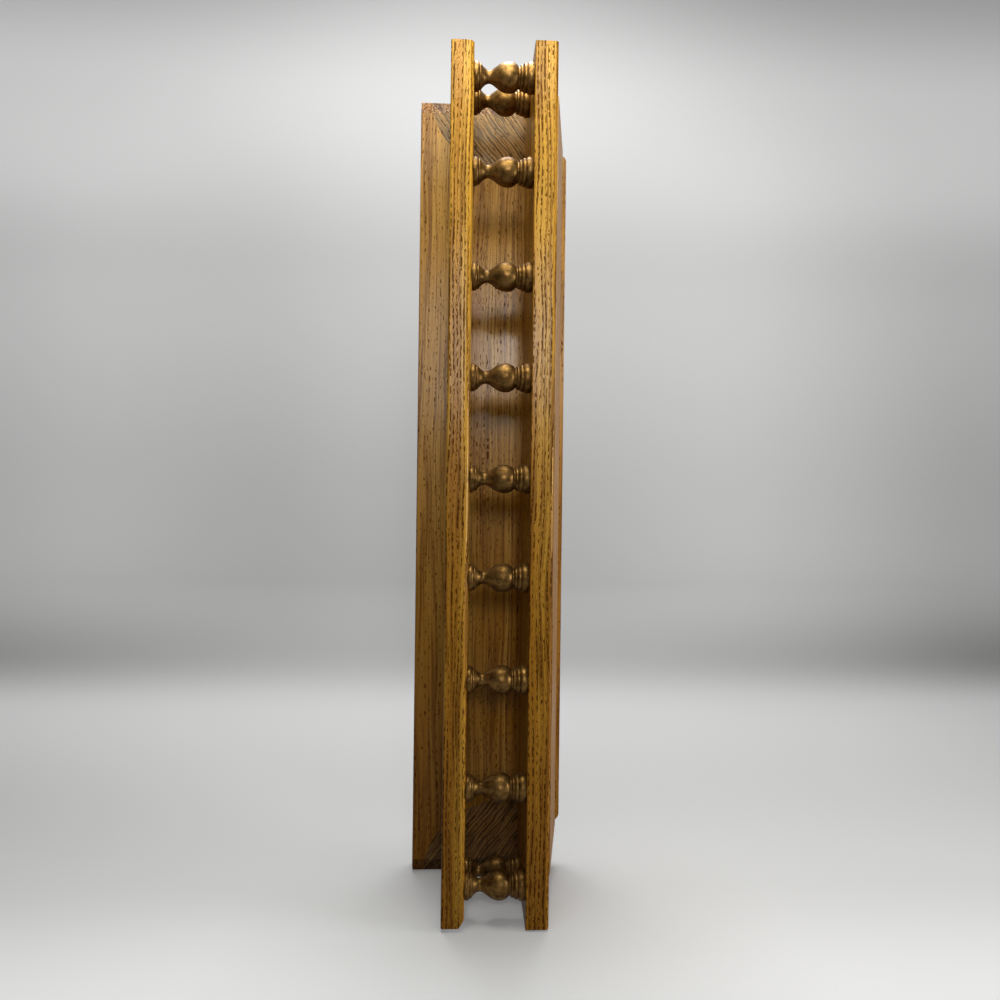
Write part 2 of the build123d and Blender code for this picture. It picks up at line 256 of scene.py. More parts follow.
class OakGrain(EffectGroup):
    """Straight-grained oak: pale and dark streaks, rows of short dark pores, and fine fibres, all along X.

    A stretch is in cycles per metre along X, Y and Z. Where its name says rows, Y and Z count rows of pores.
    The rows lie on flat sheets that stand square to SHEET_LEAN, which is a direction in Y and Z.
    """

    SEED_STEP: Point = (1.7, 0.31, 1.0)
    SLOW_STRETCH: Stretch = (3.5, 26.0, 26.0)
    SLOW_BEND: float = 0.014
    QUICK_STRETCH: Stretch = (17.0, 70.0, 70.0)
    QUICK_BEND: float = 0.0034
    BROAD_ROWS: Stretch = (2.4, 0.20, 0.20)
    STREAK_ROWS: Stretch = (9.0, 1.0, 1.0)
    TONE_ROUGHNESS: float = 0.55
    SHEET_LEAN: Span = (0.85, 0.53)
    DASH_STRETCH: Stretch = (300.0, 7.31, 1900.0)
    FULL_STRETCH: Stretch = (14.0, 3.77, 1.0)
    CROWD_STREAK: Span = (0.38, 0.62)
    CROWD_SPAN: float = 0.7
    CROWD_LEAST: float = 0.3
    DASH_EDGE: float = 0.745
    CROWD_PULL: float = 0.36
    FULL_PULL: float = 0.26
    DASH_BLUR: float = 0.05
    ROW_HALF: Span = (0.14, 0.30)
    SPECK_STRETCH: Stretch = (330.0, 2100.0, 2100.0)
    SPECK_EDGE: Span = (0.60, 0.68)
    SPECK_CROWD: float = 1.4
    SPECK_LEAST: float = 0.1
    FIBRE_STRETCH: Stretch = (38.0, 1700.0, 1700.0)
    FIBRE_ROUGHNESS: float = 0.6
    FIBRE_HEIGHT: float = 0.25

    def __init__(self) -> None:
        """Build the grain from noise that is stretched along the vector's X."""
        super().__init__(
            "Oak grain",
            {"Vector": (0.0, 0.0, 0.0), "Row Pitch": 0.0024, "Pore Share": 0.5, "Seed": 0.0},
            {"Broad": "NodeSocketFloat", "Streak": "NodeSocketFloat", "Pores": "NodeSocketFloat",
             "Fibre": "NodeSocketFloat", "Height": "NodeSocketFloat"})
        desk = self.desk
        x, y, z = self.bent_place()
        rows = desk.math("DIVIDE", 1.0, self.source["Row Pitch"])
        row_y, row_z = desk.math("MULTIPLY", y, rows), desk.math("MULTIPLY", z, rows)
        in_rows = desk.join(x, row_y, row_z)
        broad = desk.noise(desk.vector("MULTIPLY", in_rows, self.BROAD_ROWS), roughness=self.TONE_ROUGHNESS)
        streak = desk.noise(desk.vector("MULTIPLY", in_rows, self.STREAK_ROWS), roughness=self.TONE_ROUGHNESS)
        crowd = desk.math("MULTIPLY_ADD", desk.smooth(streak, *self.CROWD_STREAK), self.CROWD_SPAN,
                          self.CROWD_LEAST)
        crowd = desk.math("MULTIPLY", crowd, self.source["Pore Share"])
        spot = desk.join(x, y, z)
        rowed = self.rowed_pores(spot, row_y, row_z, crowd)
        pores = desk.math("MAXIMUM", rowed, self.loose_pores(spot, crowd))
        fibre = desk.noise(desk.vector("MULTIPLY", spot, self.FIBRE_STRETCH), roughness=self.FIBRE_ROUGHNESS)
        height = desk.math("MULTIPLY_ADD", pores, -1.0, desk.math("MULTIPLY", fibre, self.FIBRE_HEIGHT))
        results = {"Broad": broad, "Streak": streak, "Pores": pores, "Fibre": fibre, "Height": height}
        for name, value in results.items():
            desk.feed(self.sink[name], value)

    def bent_place(self) -> list[bpy.types.NodeSocket]:
        """Shift the vector by the seed and bend its Y slowly and quickly, as a trunk grows.

        Returns:
            The bent X, Y and Z.
        """
        desk, seed = self.desk, self.source["Seed"]
        step = desk.vector("MULTIPLY", desk.join(seed, seed, seed), self.SEED_STEP)
        shifted = desk.vector("ADD", self.source["Vector"], step)
        slow = desk.noise(desk.vector("MULTIPLY", shifted, self.SLOW_STRETCH))
        quick = desk.noise(desk.vector("MULTIPLY", shifted, self.QUICK_STRETCH))
        bend = desk.math("MULTIPLY", desk.math("SUBTRACT", quick, 0.5), self.QUICK_BEND)
        bend = desk.math("MULTIPLY_ADD", desk.math("SUBTRACT", slow, 0.5), self.SLOW_BEND, bend)
        x, y, z = desk.split(shifted)
        return [x, desk.math("ADD", y, bend), z]

    def rowed_pores(self, spot: bpy.types.NodeSocket, row_y: bpy.types.NodeSocket,
                    row_z: bpy.types.NodeSocket, crowd: bpy.types.NodeSocket) -> bpy.types.NodeSocket:
        """Break slanted sheets of pores into dashes.

        A dash shows where its noise passes edge = DASH_EDGE - CROWD_PULL * crowd - FULL_PULL * fullness.

        Args:
            spot: The bent place.
            row_y: Y in rows.
            row_z: Z in rows.
            crowd: How many pores there are.

        Returns:
            The mask.
        """
        desk = self.desk
        lean_y, lean_z = self.SHEET_LEAN
        x, y, z = desk.split(spot)
        sheet = desk.math("ADD", desk.math("MULTIPLY", row_y, lean_y), desk.math("MULTIPLY", row_z, lean_z))
        number, part = desk.math("FLOOR", sheet), desk.math("FRACT", sheet)
        beside = desk.math("SUBTRACT", desk.math("MULTIPLY", z, lean_y), desk.math("MULTIPLY", y, lean_z))
        dash = desk.vector("MULTIPLY", desk.join(x, number, beside), self.DASH_STRETCH)
        dash = desk.noise(dash, detail=1.0)
        fullness = desk.vector("MULTIPLY", desk.join(x, number, 0.5), self.FULL_STRETCH)
        fullness = desk.noise(fullness, detail=1.0)
        edge = desk.math("SUBTRACT", self.DASH_EDGE, desk.math("MULTIPLY", crowd, self.CROWD_PULL))
        edge = desk.math("SUBTRACT", edge, desk.math("MULTIPLY", fullness, self.FULL_PULL))
        off_row = desk.math("ABSOLUTE", desk.math("SUBTRACT", part, 0.5))
        in_row = desk.math("SUBTRACT", 1.0, desk.smooth(off_row, *self.ROW_HALF))
        shown = desk.smooth(dash, edge, desk.math("ADD", edge, self.DASH_BLUR))
        return desk.math("MULTIPLY", shown, in_row)

    def loose_pores(self, spot: bpy.types.NodeSocket, crowd: bpy.types.NodeSocket) -> bpy.types.NodeSocket:
        """Strew short pores between the rows.

        Args:
            spot: The bent place.
            crowd: How many pores there are.

        Returns:
            The mask.
        """
        desk = self.desk
        speck = desk.noise(desk.vector("MULTIPLY", spot, self.SPECK_STRETCH), detail=1.0)
        share = desk.math("MULTIPLY_ADD", crowd, self.SPECK_CROWD, self.SPECK_LEAST)
        return desk.math("MULTIPLY", desk.smooth(speck, *self.SPECK_EDGE), share, clamp=True)


class HandlingWear(EffectGroup):
    """Grime and faint rubbing: a mottled mask that dulls and darkens a lacquered surface here and there."""

    BROAD_SCALE: float = 16.0
    BROAD_GRIME: Span = (0.45, 0.75)
    FINE_SCALE: float = 260.0
    FINE_GRIME: Span = (0.30, 0.75)
    FINE_RUB: Span = (0.35, 0.70)

    def __init__(self) -> None:
        """Build the mask from two scales of noise."""
        super().__init__("Handling wear", {"Vector": (0.0, 0.0, 0.0), "Amount": 0.5, "Seed": 0.0},
                         {"Grime": "NodeSocketFloat", "Rub": "NodeSocketFloat"})
        desk, source = self.desk, self.source
        place = desk.vector("ADD", source["Vector"], desk.join(source["Seed"], source["Seed"], 0.0))
        broad = desk.noise(place, self.BROAD_SCALE, detail=4.0, roughness=0.6)
        fine = desk.noise(place, self.FINE_SCALE, detail=3.0, roughness=0.65)
        grime = desk.math("MULTIPLY", desk.smooth(broad, *self.BROAD_GRIME),
                          desk.smooth(fine, *self.FINE_GRIME))
        rub = desk.smooth(fine, *self.FINE_RUB)
        desk.feed(self.sink["Grime"], desk.math("MULTIPLY", grime, source["Amount"]))
        desk.feed(self.sink["Rub"], desk.math("MULTIPLY", rub, source["Amount"]))


class Skin:
    """A new material with its node desk and its Principled shader."""

    def __init__(self, name: str) -> None:
        """Make the material."""
        self.material = bpy.data.materials.new(name)
        self.material.use_nodes = True
        self.desk = NodeDesk(self.material.node_tree)
        self.surface = self.material.node_tree.nodes["Principled BSDF"]

    def fill(self, **values: object) -> None:
        """Set or link the shader's inputs.

        Args:
            **values: Inputs by name, with an underscore for each space.
        """
        for name, value in values.items():
            self.desk.feed(self.surface.inputs[name.replace("_", " ")], value)

    def raise_surface(self, height: bpy.types.NodeSocket, strength: float, distance: float) -> None:
        """Bend the surface's normal as a relief would.

        Args:
            height: The relief's height.
            strength: How much of it shows.
            distance: The relief's depth in metres.
        """
        bump = self.desk.add("ShaderNodeBump")
        bump.inputs["Strength"].default_value = strength
        bump.inputs["Distance"].default_value = distance
        self.desk.feed(bump.inputs["Height"], height)
        self.desk.feed(self.surface.inputs["Normal"], bump.outputs["Normal"])


@dataclass(frozen=True)
class OakFinish:
    """Honey-coloured oak under satin lacquer."""

    name: str
    run: GrainRun
    honey: Colour = srgb(182, 122, 29)
    straw: Colour = srgb(212, 158, 54)
    brown: Colour = srgb(124, 74, 11)
    pore: Colour = srgb(70, 36, 6)
    row_pitch: float = 0.0021
    pore_share: float = 0.54
    seed: float = 0.0
    # How much painted light pales the wood toward the shelf's +X end.
    painted_light_end: float = 0.5
    straw_from: Span = (0.36, 0.66)
    streak_from: Span = (0.42, 0.64)
    streak_share: float = 0.74
    fibre_from: Span = (0.42, 0.72)
    fibre_share: float = 0.42
    end_from: Span = (0.08, 0.50)
    end_stain: float = 0.9
    end_dot_scale: float = 430.0
    end_dot_from: Span = (0.46, 0.55)
    wear_amount: float = 0.5
    grime_share: float = 0.35
    pore_stain: float = 0.82
    roughness: float = 0.32
    rub_roughness: float = 0.12
    pore_roughness: float = 0.25
    gloss: float = 0.25
    gloss_tint: Colour = (1.0, 0.90, 0.66)
    coat: float = 0.12
    coat_roughness: float = 0.15
    pore_dulling: float = 0.85
    relief: float = 0.35
    relief_depth: float = 0.0004

    def end_share(self, desk: NodeDesk) -> bpy.types.NodeSocket:
        """Find how far a face cuts across the grain, where the stain soaks in.

        Args:
            desk: The material's node desk.

        Returns:
            0 on a face along the grain, 1 on an end.
        """
        facing = desk.split(desk.add("ShaderNodeNewGeometry").outputs["Normal"])
        way = {GrainRun.LENGTH: 0, GrainRun.DEPTH: 1}[self.run]
        return desk.smooth(desk.math("ABSOLUTE", facing[way]), *self.end_from)

    def grain_vector(self, desk: NodeDesk) -> bpy.types.NodeSocket:
        """Turn object coordinates so that X runs along the grain.

        Args:
            desk: The material's node desk.

        Returns:
            The turned coordinates.
        """
        x, y, z = desk.split(desk.add("ShaderNodeTexCoord").outputs["Object"])
        return desk.join(y, x, z) if self.run is GrainRun.DEPTH else desk.join(x, z, y)

    def shade(self, desk: NodeDesk, colour: bpy.types.NodeSocket) -> bpy.types.NodeSocket:
        """Give the wood's colour as it is, for a board of one piece."""
        return colour

    def stained(self, desk: NodeDesk, figure: bpy.types.NodeOutputs,
                end: bpy.types.NodeSocket) -> bpy.types.NodeSocket:
        """Colour the wood without its pores and grime, with painted light that makes it paler toward the
        shelf's +X end, which stands uppermost by the key lamp.

        Args:
            desk: The material's node desk.
            figure: The grain's outputs.
            end: How far the face is an end.

        Returns:
            The colour.
        """
        x = desk.split(desk.add("ShaderNodeTexCoord").outputs["Object"])[0]
        # Painted light: the +X end, uppermost as the shelf stands, is made paler as if lit more strongly.
        grain_and_painted_light = desk.math("MULTIPLY_ADD", x, self.painted_light_end, figure["Broad"])
        colour = desk.blend(desk.smooth(grain_and_painted_light, *self.straw_from), self.honey, self.straw)
        streak = desk.math("MULTIPLY", desk.smooth(figure["Streak"], *self.streak_from), self.streak_share)
        fibre = desk.math("MULTIPLY", desk.smooth(figure["Fibre"], *self.fibre_from), self.fibre_share)
        for share in (streak, fibre, desk.math("MULTIPLY", end, self.end_stain)):
            colour = desk.blend(share, colour, self.brown)
        return self.shade(desk, colour)

    def build(self, grain: OakGrain, wear: HandlingWear) -> bpy.types.Material:
        """Make the material.

        Args:
            grain: The shared oak grain.
            wear: The shared wear.

        Returns:
            The material.
        """
        skin = Skin(self.name)
        desk = skin.desk
        place = self.grain_vector(desk)
        figure = grain.place(desk, Vector=place, Row_Pitch=self.row_pitch, Pore_Share=self.pore_share,
                             Seed=self.seed)
        marks = wear.place(desk, Vector=place, Amount=self.wear_amount, Seed=self.seed)
        end = self.end_share(desk)
        colour = self.stained(desk, figure, end)
        colour = desk.blend(desk.math("MULTIPLY", marks["Grime"], self.grime_share), colour, self.pore)
        dots = desk.noise(place, self.end_dot_scale, roughness=0.6)
        dots = desk.math("MULTIPLY", desk.smooth(dots, *self.end_dot_from), end)
        pores = desk.math("MULTIPLY_ADD", figure["Pores"], desk.math("SUBTRACT", 1.0, end), dots)
        colour = desk.blend(desk.math("MULTIPLY", pores, self.pore_stain), colour, self.pore)
        rough = desk.math("MULTIPLY_ADD", marks["Rub"], self.rub_roughness, self.roughness)
        rough = desk.math("MULTIPLY_ADD", figure["Pores"], self.pore_roughness, rough)
        filled = desk.math("MULTIPLY_ADD", pores, -self.pore_dulling, 1.0, clamp=True)
        skin.fill(Base_Color=colour, Roughness=rough,
                  Specular_IOR_Level=desk.math("MULTIPLY", filled, self.gloss),
                  Specular_Tint=(*self.gloss_tint, 1.0),
                  Coat_Weight=desk.math("MULTIPLY", filled, self.coat), Coat_Roughness=self.coat_roughness)
        skin.raise_surface(figure["Height"], self.relief, self.relief_depth)
        return skin.material


@dataclass(frozen=True, kw_only=True)
class CrossedOakFinish(OakFinish):
    """Oak whose grain turns aslant in a rounded zone at each end of the board.

    The zone's edge is a quarter ellipse: at height z it lies inset = reach * sqrt(1 - (z / rise) ** 2) in
    from the board's end. The zone starts at the shelf's top, less a slack for rounding.
    """

    end: float
    reach: float = 0.059
    rise: float = 0.0745
    slack: float = 0.0001
    lean: float = math.radians(53.0)
    depth_shift: float = 0.03
    zone: Colour = srgb(148, 110, 66)
    zone_share: float = 0.72
    zone_blur: float = 0.0006
    line: Colour = srgb(66, 42, 18)
    line_from: Span = (0.44, 0.57)
    line_share: float = 0.9
    line_stretch: Stretch = (26.0, 640.0, 1.0)
    wave_stretch: Stretch = (60.0, 90.0, 1.0)
    wave: float = 0.0045

    def zone_depth(self, desk: NodeDesk) -> bpy.types.NodeSocket:
        """Measure how far inside the turned zone a point lies, in metres.

        Args:
            desk: The material's node desk.

        Returns:
            The depth, below zero outside the zone.
        """
        x, _, z = desk.split(desk.add("ShaderNodeTexCoord").outputs["Object"])
        inset = desk.math("SUBTRACT", self.end, desk.math("ABSOLUTE", x))
        share = desk.math("DIVIDE", desk.math("MAXIMUM", z, 0.0), self.rise)
        left = desk.math("MAXIMUM", desk.math("SUBTRACT", 1.0, desk.math("MULTIPLY", share, share)), 0.0)
        edge = desk.math("MULTIPLY", desk.math("SQRT", left), self.reach)
        above = desk.math("GREATER_THAN", z, -self.slack)
        return desk.math("SUBTRACT", desk.math("MULTIPLY", edge, above), inset)

    def grain_vector(self, desk: NodeDesk) -> bpy.types.NodeSocket:
        """Turn object coordinates so that X runs along the grain, in the zone and outside it.

        Args:
            desk: The material's node desk.

        Returns:
            The turned coordinates.
        """
        x, y, z = desk.split(desk.add("ShaderNodeTexCoord").outputs["Object"])
        out = desk.math("ABSOLUTE", x)
        end_share, rise_share = math.sin(self.lean), math.cos(self.lean)
        along = desk.math("MULTIPLY_ADD", out, end_share, desk.math("MULTIPLY", z, rise_share))
        across = desk.math("MULTIPLY_ADD", out, rise_share, desk.math("MULTIPLY", z, -end_share))
        mix = desk.add("ShaderNodeMix", data_type="VECTOR")
        desk.feed(mix.inputs["Factor"], desk.math("GREATER_THAN", self.zone_depth(desk), 0.0))
        ways = {"A": desk.join(x, z, y), "B": desk.join(along, across, desk.math("ADD", y, self.depth_shift))}
        for socket in mix.inputs:
            if socket.type == "VECTOR" and socket.name in ways:
                desk.feed(socket, ways[socket.name])
        return [s for s in mix.outputs if s.type == "VECTOR"][0]

    def shade(self, desk: NodeDesk, colour: bpy.types.NodeSocket) -> bpy.types.NodeSocket:
        """Dull the turned zone and draw its dark, wavy, close lines.

        Args:
            desk: The material's node desk.
            colour: The board's colour.

        Returns:
            The colour with the zone in it.
        """
        inside = desk.smooth(self.zone_depth(desk), 0.0, self.zone_blur)
        place = self.grain_vector(desk)
        along, across, deep = desk.split(place)
        bent = desk.noise(desk.vector("MULTIPLY", place, self.wave_stretch))
        across = desk.math("MULTIPLY_ADD", bent, self.wave, across)
        lines = desk.noise(desk.vector("MULTIPLY", desk.join(along, across, deep), self.line_stretch),
                           roughness=0.6)
        colour = desk.blend(desk.math("MULTIPLY", inside, self.zone_share), colour, self.zone)
        dark = desk.math("MULTIPLY", desk.smooth(lines, *self.line_from), inside)
        return desk.blend(desk.math("MULTIPLY", dark, self.line_share), colour, self.line)


@dataclass(frozen=True)
class AntiqueBrassFinish:
    """Brass toned brown, rubbed bright here and there and left dark where grime sits, under lacquer."""

    name: str
    rubbed: Colour = srgb(148, 112, 60)
    toned: Colour = srgb(94, 64, 26)
    dark: Colour = srgb(40, 23, 7)
    seed: float = 0.0
    wear_amount: float = 0.8
    grime_share: float = 0.7
    mottle_scale: float = 240.0
    mottle_from: Span = (0.34, 0.70)
    turning_stretch: Stretch = (260.0, 260.0, 2400.0)
    metallic: float = 0.8
    gloss: float = 0.3
    roughness: float = 0.30
    rub_roughness: float = 0.10
    mottle_roughness: float = 0.16
    relief: float = 0.25
    relief_depth: float = 0.0002

    def build(self, wear: HandlingWear) -> bpy.types.Material:
        """Make the material.

        Args:
            wear: The shared wear.

        Returns:
            The material.
        """
        skin = Skin(self.name)
        desk = skin.desk
        place = desk.add("ShaderNodeTexCoord").outputs["Object"]
        marks = wear.place(desk, Vector=place, Amount=self.wear_amount, Seed=self.seed)
        mottle = desk.noise(place, self.mottle_scale, detail=3.0, roughness=0.6)
        turning = desk.noise(desk.vector("MULTIPLY", place, self.turning_stretch))
        colour = desk.blend(desk.smooth(mottle, *self.mottle_from), self.rubbed, self.toned)
        colour = desk.blend(desk.math("MULTIPLY", marks["Grime"], self.grime_share), colour, self.dark)
        rough = desk.math("MULTIPLY_ADD", marks["Rub"], self.rub_roughness, self.roughness)
        rough = desk.math("MULTIPLY_ADD", mottle, self.mottle_roughness, rough)
        skin.fill(Base_Color=colour, Metallic=self.metallic, Roughness=rough, Specular_IOR_Level=self.gloss)
        skin.raise_surface(desk.math("ADD", turning, mottle), self.relief, self.relief_depth)
        return skin.material


@dataclass(frozen=True)
class PlainWoodFinish:
    """Bare pale hardwood, as a bought dowel."""

    name: str
    pale: Colour = srgb(214, 184, 138)
    dark: Colour = srgb(184, 150, 102)
    row_pitch: float = 0.0015
    pore_share: float = 0.2
    seed: float = 5.0
    wear_amount: float = 0.4
    roughness: float = 0.6
    rub_roughness: float = 0.15

    def build(self, grain: OakGrain, wear: HandlingWear) -> bpy.types.Material:
        """Make the material.

        Args:
            grain: The shared grain.
            wear: The shared wear.

        Returns:
            The material.
        """
        skin = Skin(self.name)
        desk = skin.desk
        place = desk.add("ShaderNodeTexCoord").outputs["Object"]
        figure = grain.place(desk, Vector=place, Row_Pitch=self.row_pitch, Pore_Share=self.pore_share,
                             Seed=self.seed)
        marks = wear.place(desk, Vector=place, Amount=self.wear_amount, Seed=self.seed)
        rough = desk.math("MULTIPLY_ADD", marks["Rub"], self.rub_roughness, self.roughness)
        skin.fill(Base_Color=desk.blend(figure["Fibre"], self.pale, self.dark), Roughness=rough)
        return skin.material


@dataclass(frozen=True)
class ZincFinish:
    """Bright zinc plate on steel, with a fine grain and a few dull patches."""

    name: str
    bright: Colour = srgb(196, 196, 190)
    dull: Colour = srgb(146, 146, 140)
    seed: float = 9.0
    wear_amount: float = 1.0
    scratch_stretch: Stretch = (2600.0, 2600.0, 160.0)
    metallic: float = 0.92
    roughness: float = 0.24
    rub_roughness: float = 0.12
    scratch_roughness: float = 0.18
    relief: float = 0.12
    relief_depth: float = 0.0001

    def build(self, wear: HandlingWear) -> bpy.types.Material:
        """Make the material.

        Args:
            wear: The shared wear.

        Returns:
            The material.
        """
        skin = Skin(self.name)
        desk = skin.desk
        place = desk.add("ShaderNodeTexCoord").outputs["Object"]
        marks = wear.place(desk, Vector=place, Amount=self.wear_amount, Seed=self.seed)
        scratch = desk.noise(desk.vector("MULTIPLY", place, self.scratch_stretch), roughness=0.6)
        rough = desk.math("MULTIPLY_ADD", marks["Rub"], self.rub_roughness, self.roughness)
        rough = desk.math("MULTIPLY_ADD", scratch, self.scratch_roughness, rough)
        skin.fill(Base_Color=desk.blend(marks["Grime"], self.bright, self.dull), Metallic=self.metallic,
                  Roughness=rough)
        skin.raise_surface(scratch, self.relief, self.relief_depth)
        return skin.material


class Dresser:
    """Puts finishes on the object's rigid parts."""

    def __init__(self, nodes: dict[str, bpy.types.Object]) -> None:
        """Keep the frame's nodes by name."""
        self.nodes = nodes

    def dress(self, name: str, material: bpy.types.Material) -> None:
        """Give one part its finish in every slot.

        Args:
            name: The part's name.
            material: Its finish.
        """
        part = self.nodes[name]
        if not part.material_slots:
            part.data.materials.append(material)
        for slot in part.material_slots:
            slot.material = material
        LOG.info("%s: %s", name, material.name)


@dataclass
class Casework:
    """The shelf, the back board and the tapered board beneath."""

    back_half: float

    def dress(self, dresser: Dresser, grain: OakGrain, wear: HandlingWear) -> None:
        """Dress each board in oak cut from its own plank.

        Args:
            dresser: Where the parts are.
            grain: The shared grain.
            wear: The shared wear.
        """
        shelf = OakFinish("Oak shelf board", GrainRun.LENGTH, seed=1.3)
        back = CrossedOakFinish("Oak back board", GrainRun.LENGTH, honey=srgb(164, 109, 29),
                                straw=srgb(194, 143, 60), pore_share=0.12, streak_share=0.85, seed=2.9,
                                painted_light_end=0.2, end=self.back_half)
        # Partly painted light: the soffit board's colours are paler than the other boards' and its gloss is
        # cut, so that its strip, which lies in shade, reads as lit in place of a sheen on its sloped face.
        soffit = OakFinish("Oak soffit board", GrainRun.LENGTH, honey=srgb(188, 140, 88),
                           straw=srgb(204, 162, 112), brown=srgb(150, 102, 54), pore_share=0.1, seed=4.1,
                           gloss=0.06, coat=0.0)
        dresser.dress("shelf_board", shelf.build(grain, wear))
        dresser.dress("back_board", back.build(grain, wear))
        dresser.dress("soffit_board", soffit.build(grain, wear))


@dataclass
class Gallery:
    """The rails and the turned spindles between them and the shelf."""

    front_count: int = 9
    sides: tuple[str, str] = ("left", "right")

    def dress(self, dresser: Dresser, grain: OakGrain, wear: HandlingWear) -> None:
        """Dress the rails in oak and the spindles in brass.

        Args:
            dresser: Where the parts are.
            grain: The shared grain.
            wear: The shared wear.
        """
        rail = OakFinish("Oak front rail", GrainRun.LENGTH, seed=6.2, honey=srgb(175, 116, 28))
        side = OakFinish("Oak side rail", GrainRun.DEPTH, seed=7.7)
        dresser.dress("gallery_front_rail", rail.build(grain, wear))
        side_material = side.build(grain, wear)
        brass = AntiqueBrassFinish("Antique brass", seed=3.0).build(wear)
        for name in self.sides:
            dresser.dress(f"gallery_side_rail_{name}", side_material)
            dresser.dress(f"side_spindle_{name}", brass)
        for number in range(1, self.front_count + 1):
            dresser.dress(f"front_spindle_{number}", brass)


@dataclass
class Fixings:
    """Dowels, screws and the two hanger plates."""

    dowels: tuple[str, ...] = ("gallery_dowels", "soffit_dowels")
    metal: tuple[str, ...] = ("keyhole_plate_left", "keyhole_plate_right", "keyhole_plate_screws",
                              "shelf_screws")

    def dress(self, dresser: Dresser, grain: OakGrain, wear: HandlingWear) -> None:
        """Dress the dowels in bare wood and the rest in zinc.

        Args:
            dresser: Where the parts are.
            grain: The shared grain.
            wear: The shared wear.
        """
        bare = PlainWoodFinish("Bare dowel").build(grain, wear)
        zinc = ZincFinish("Zinc plate").build(wear)
        for name in self.dowels:
            dresser.dress(name, bare)
        for name in self.metal:
            dresser.dress(name, zinc)


@dataclass
class Sweep:
    """The white paper sweep behind and under the shelf, which stands on its -X end.

    A glow stop is a way along the paper in metres and the paper's own glow there. The glow is dim at the
    shelf's foot, brighter further back, faint in the bend, and brightest high on the wall.
    """

    foot_x: float
    gap: float = 0.0003
    front_y: float = -0.9
    bend_y: float = 0.50
    bend_radius: float = 0.16
    top_x: float = 1.7
    half_width: float = 2.2
    bend_steps: int = 48
    straight_steps: int = 24
    cross_steps: int = 9
    lit_shade: int = 186
    unseen_shade: int = 82
    paper_roughness: float = 0.7
    paper_gloss: float = 0.2
    side_glow: float = 0.12
    side_centre: float = 0.12
    side_reach: tuple[float, float] = (0.20, 0.60)
    side_rise: tuple[float, float, float, float] = (0.60, 0.90, 1.45, 1.65)
    glow: tuple[tuple[float, float], ...] = (
        (-0.90, 0.25), (-0.19, 0.28), (-0.03, 0.11), (0.08, 0.10), (0.48, 0.26), (0.66, 0.03), (0.84, 0.13),
        (0.97, 0.13), (1.33, 0.22), (1.65, 0.49), (1.88, 0.28), (2.60, 0.25))

    @property
    def floor_x(self) -> float:
        """Give the paper's level, a hair below the end that the shelf stands on."""
        return self.foot_x - self.gap

    def profile(self) -> np.ndarray:
        """Work out the sweep's outline in the X-Y plane.

        The line runs level along Y, turns through a quarter circle and then climbs along X. The way along is
        way = y + (x - floor_x), so it is y itself on the level.

        Returns:
            Rows of x, y and the way along, in metres.
        """
        turn = np.linspace(0.0, math.pi / 2, self.bend_steps)
        bend_x = self.floor_x + self.bend_radius * (1 - np.cos(turn))
        bend_y = self.bend_y + self.bend_radius * np.sin(turn)
        level = np.linspace(self.front_y, self.bend_y, self.straight_steps, endpoint=False)
        climb = np.linspace(bend_x[-1], self.top_x, self.straight_steps)[1:]
        x = np.concatenate([np.full(level.shape, self.floor_x), bend_x, climb])
        y = np.concatenate([level, bend_y, np.full(climb.shape, bend_y[-1])])
        way = y + (x - self.floor_x)
        return np.stack([x, y, way], axis=1)

    def build(self) -> bpy.types.Object:
        """Carry the profile across the set and dress it.

        Returns:
            The sweep, marked as stage.
        """
        line = self.profile()
        across = np.linspace(-self.half_width, self.half_width, self.cross_steps)
        x = np.repeat(line[:, 0], across.size)
        y = np.repeat(line[:, 1], across.size)
        z = np.tile(across, line.shape[0])
        rows, cols = line.shape[0], across.size
        corner = (np.arange(rows - 1)[:, None] * cols + np.arange(cols - 1)[None, :]).ravel()
        faces = np.stack([corner, corner + cols, corner + cols + 1, corner + 1], axis=1)
        mesh = bpy.data.meshes.new("sweep")
        mesh.from_pydata(np.stack([x, y, z], axis=1).tolist(), [], faces.tolist())
        layer = mesh.uv_layers.new(name="run")
        way = np.repeat(line[:, 2], cols)
        loops = np.empty(len(mesh.loops), dtype=np.int32)
        mesh.loops.foreach_get("vertex_index", loops)
        uv = np.stack([way[loops], z[loops]], axis=1)
        layer.data.foreach_set("uv", uv.astype(np.float32).ravel())
        mesh.shade_smooth()
        sweep = bpy.data.objects.new("sweep", mesh)
        bpy.context.scene.collection.objects.link(sweep)
        mesh.materials.append(self.paper())
        sweep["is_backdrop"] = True
        LOG.info("sweep: %d faces", len(mesh.polygons))
        return sweep

    def glow_colour(self, desk: NodeDesk) -> bpy.types.NodeSocket:
        """Find the sweep's own glow from the way along it, with more of it far to either side.

        Args:
            desk: The material's node desk.

        Returns:
            The glow's level.
        """
        way, aside, _ = desk.split(desk.add("ShaderNodeUVMap", uv_map="run").outputs["UV"])
        low, start, end, high = self.side_rise
        band = desk.math("SUBTRACT", desk.smooth(way, low, start), desk.smooth(way, end, high))
        offset = desk.math("ABSOLUTE", desk.math("SUBTRACT", aside, self.side_centre))
        flank = desk.math("MULTIPLY", desk.smooth(offset, *self.side_reach), band)
        flank = desk.math("MULTIPLY", flank, self.side_glow)
        ramp = desk.add("ShaderNodeValToRGB")
        ramp.color_ramp.interpolation = "EASE"
        first, last = self.glow[0][0], self.glow[-1][0]
        desk.feed(ramp.inputs["Fac"], desk.math("DIVIDE", desk.math("SUBTRACT", way, first), last - first))
        stops = ramp.color_ramp.elements
        while len(stops) < len(self.glow):
            stops.new(0.5)
        for stop, (place, level) in zip(stops, self.glow):
            stop.position = (place - first) / (last - first)
            stop.color = (level, level, level, 1.0)
        return desk.math("ADD", ramp.outputs["Color"], flank)

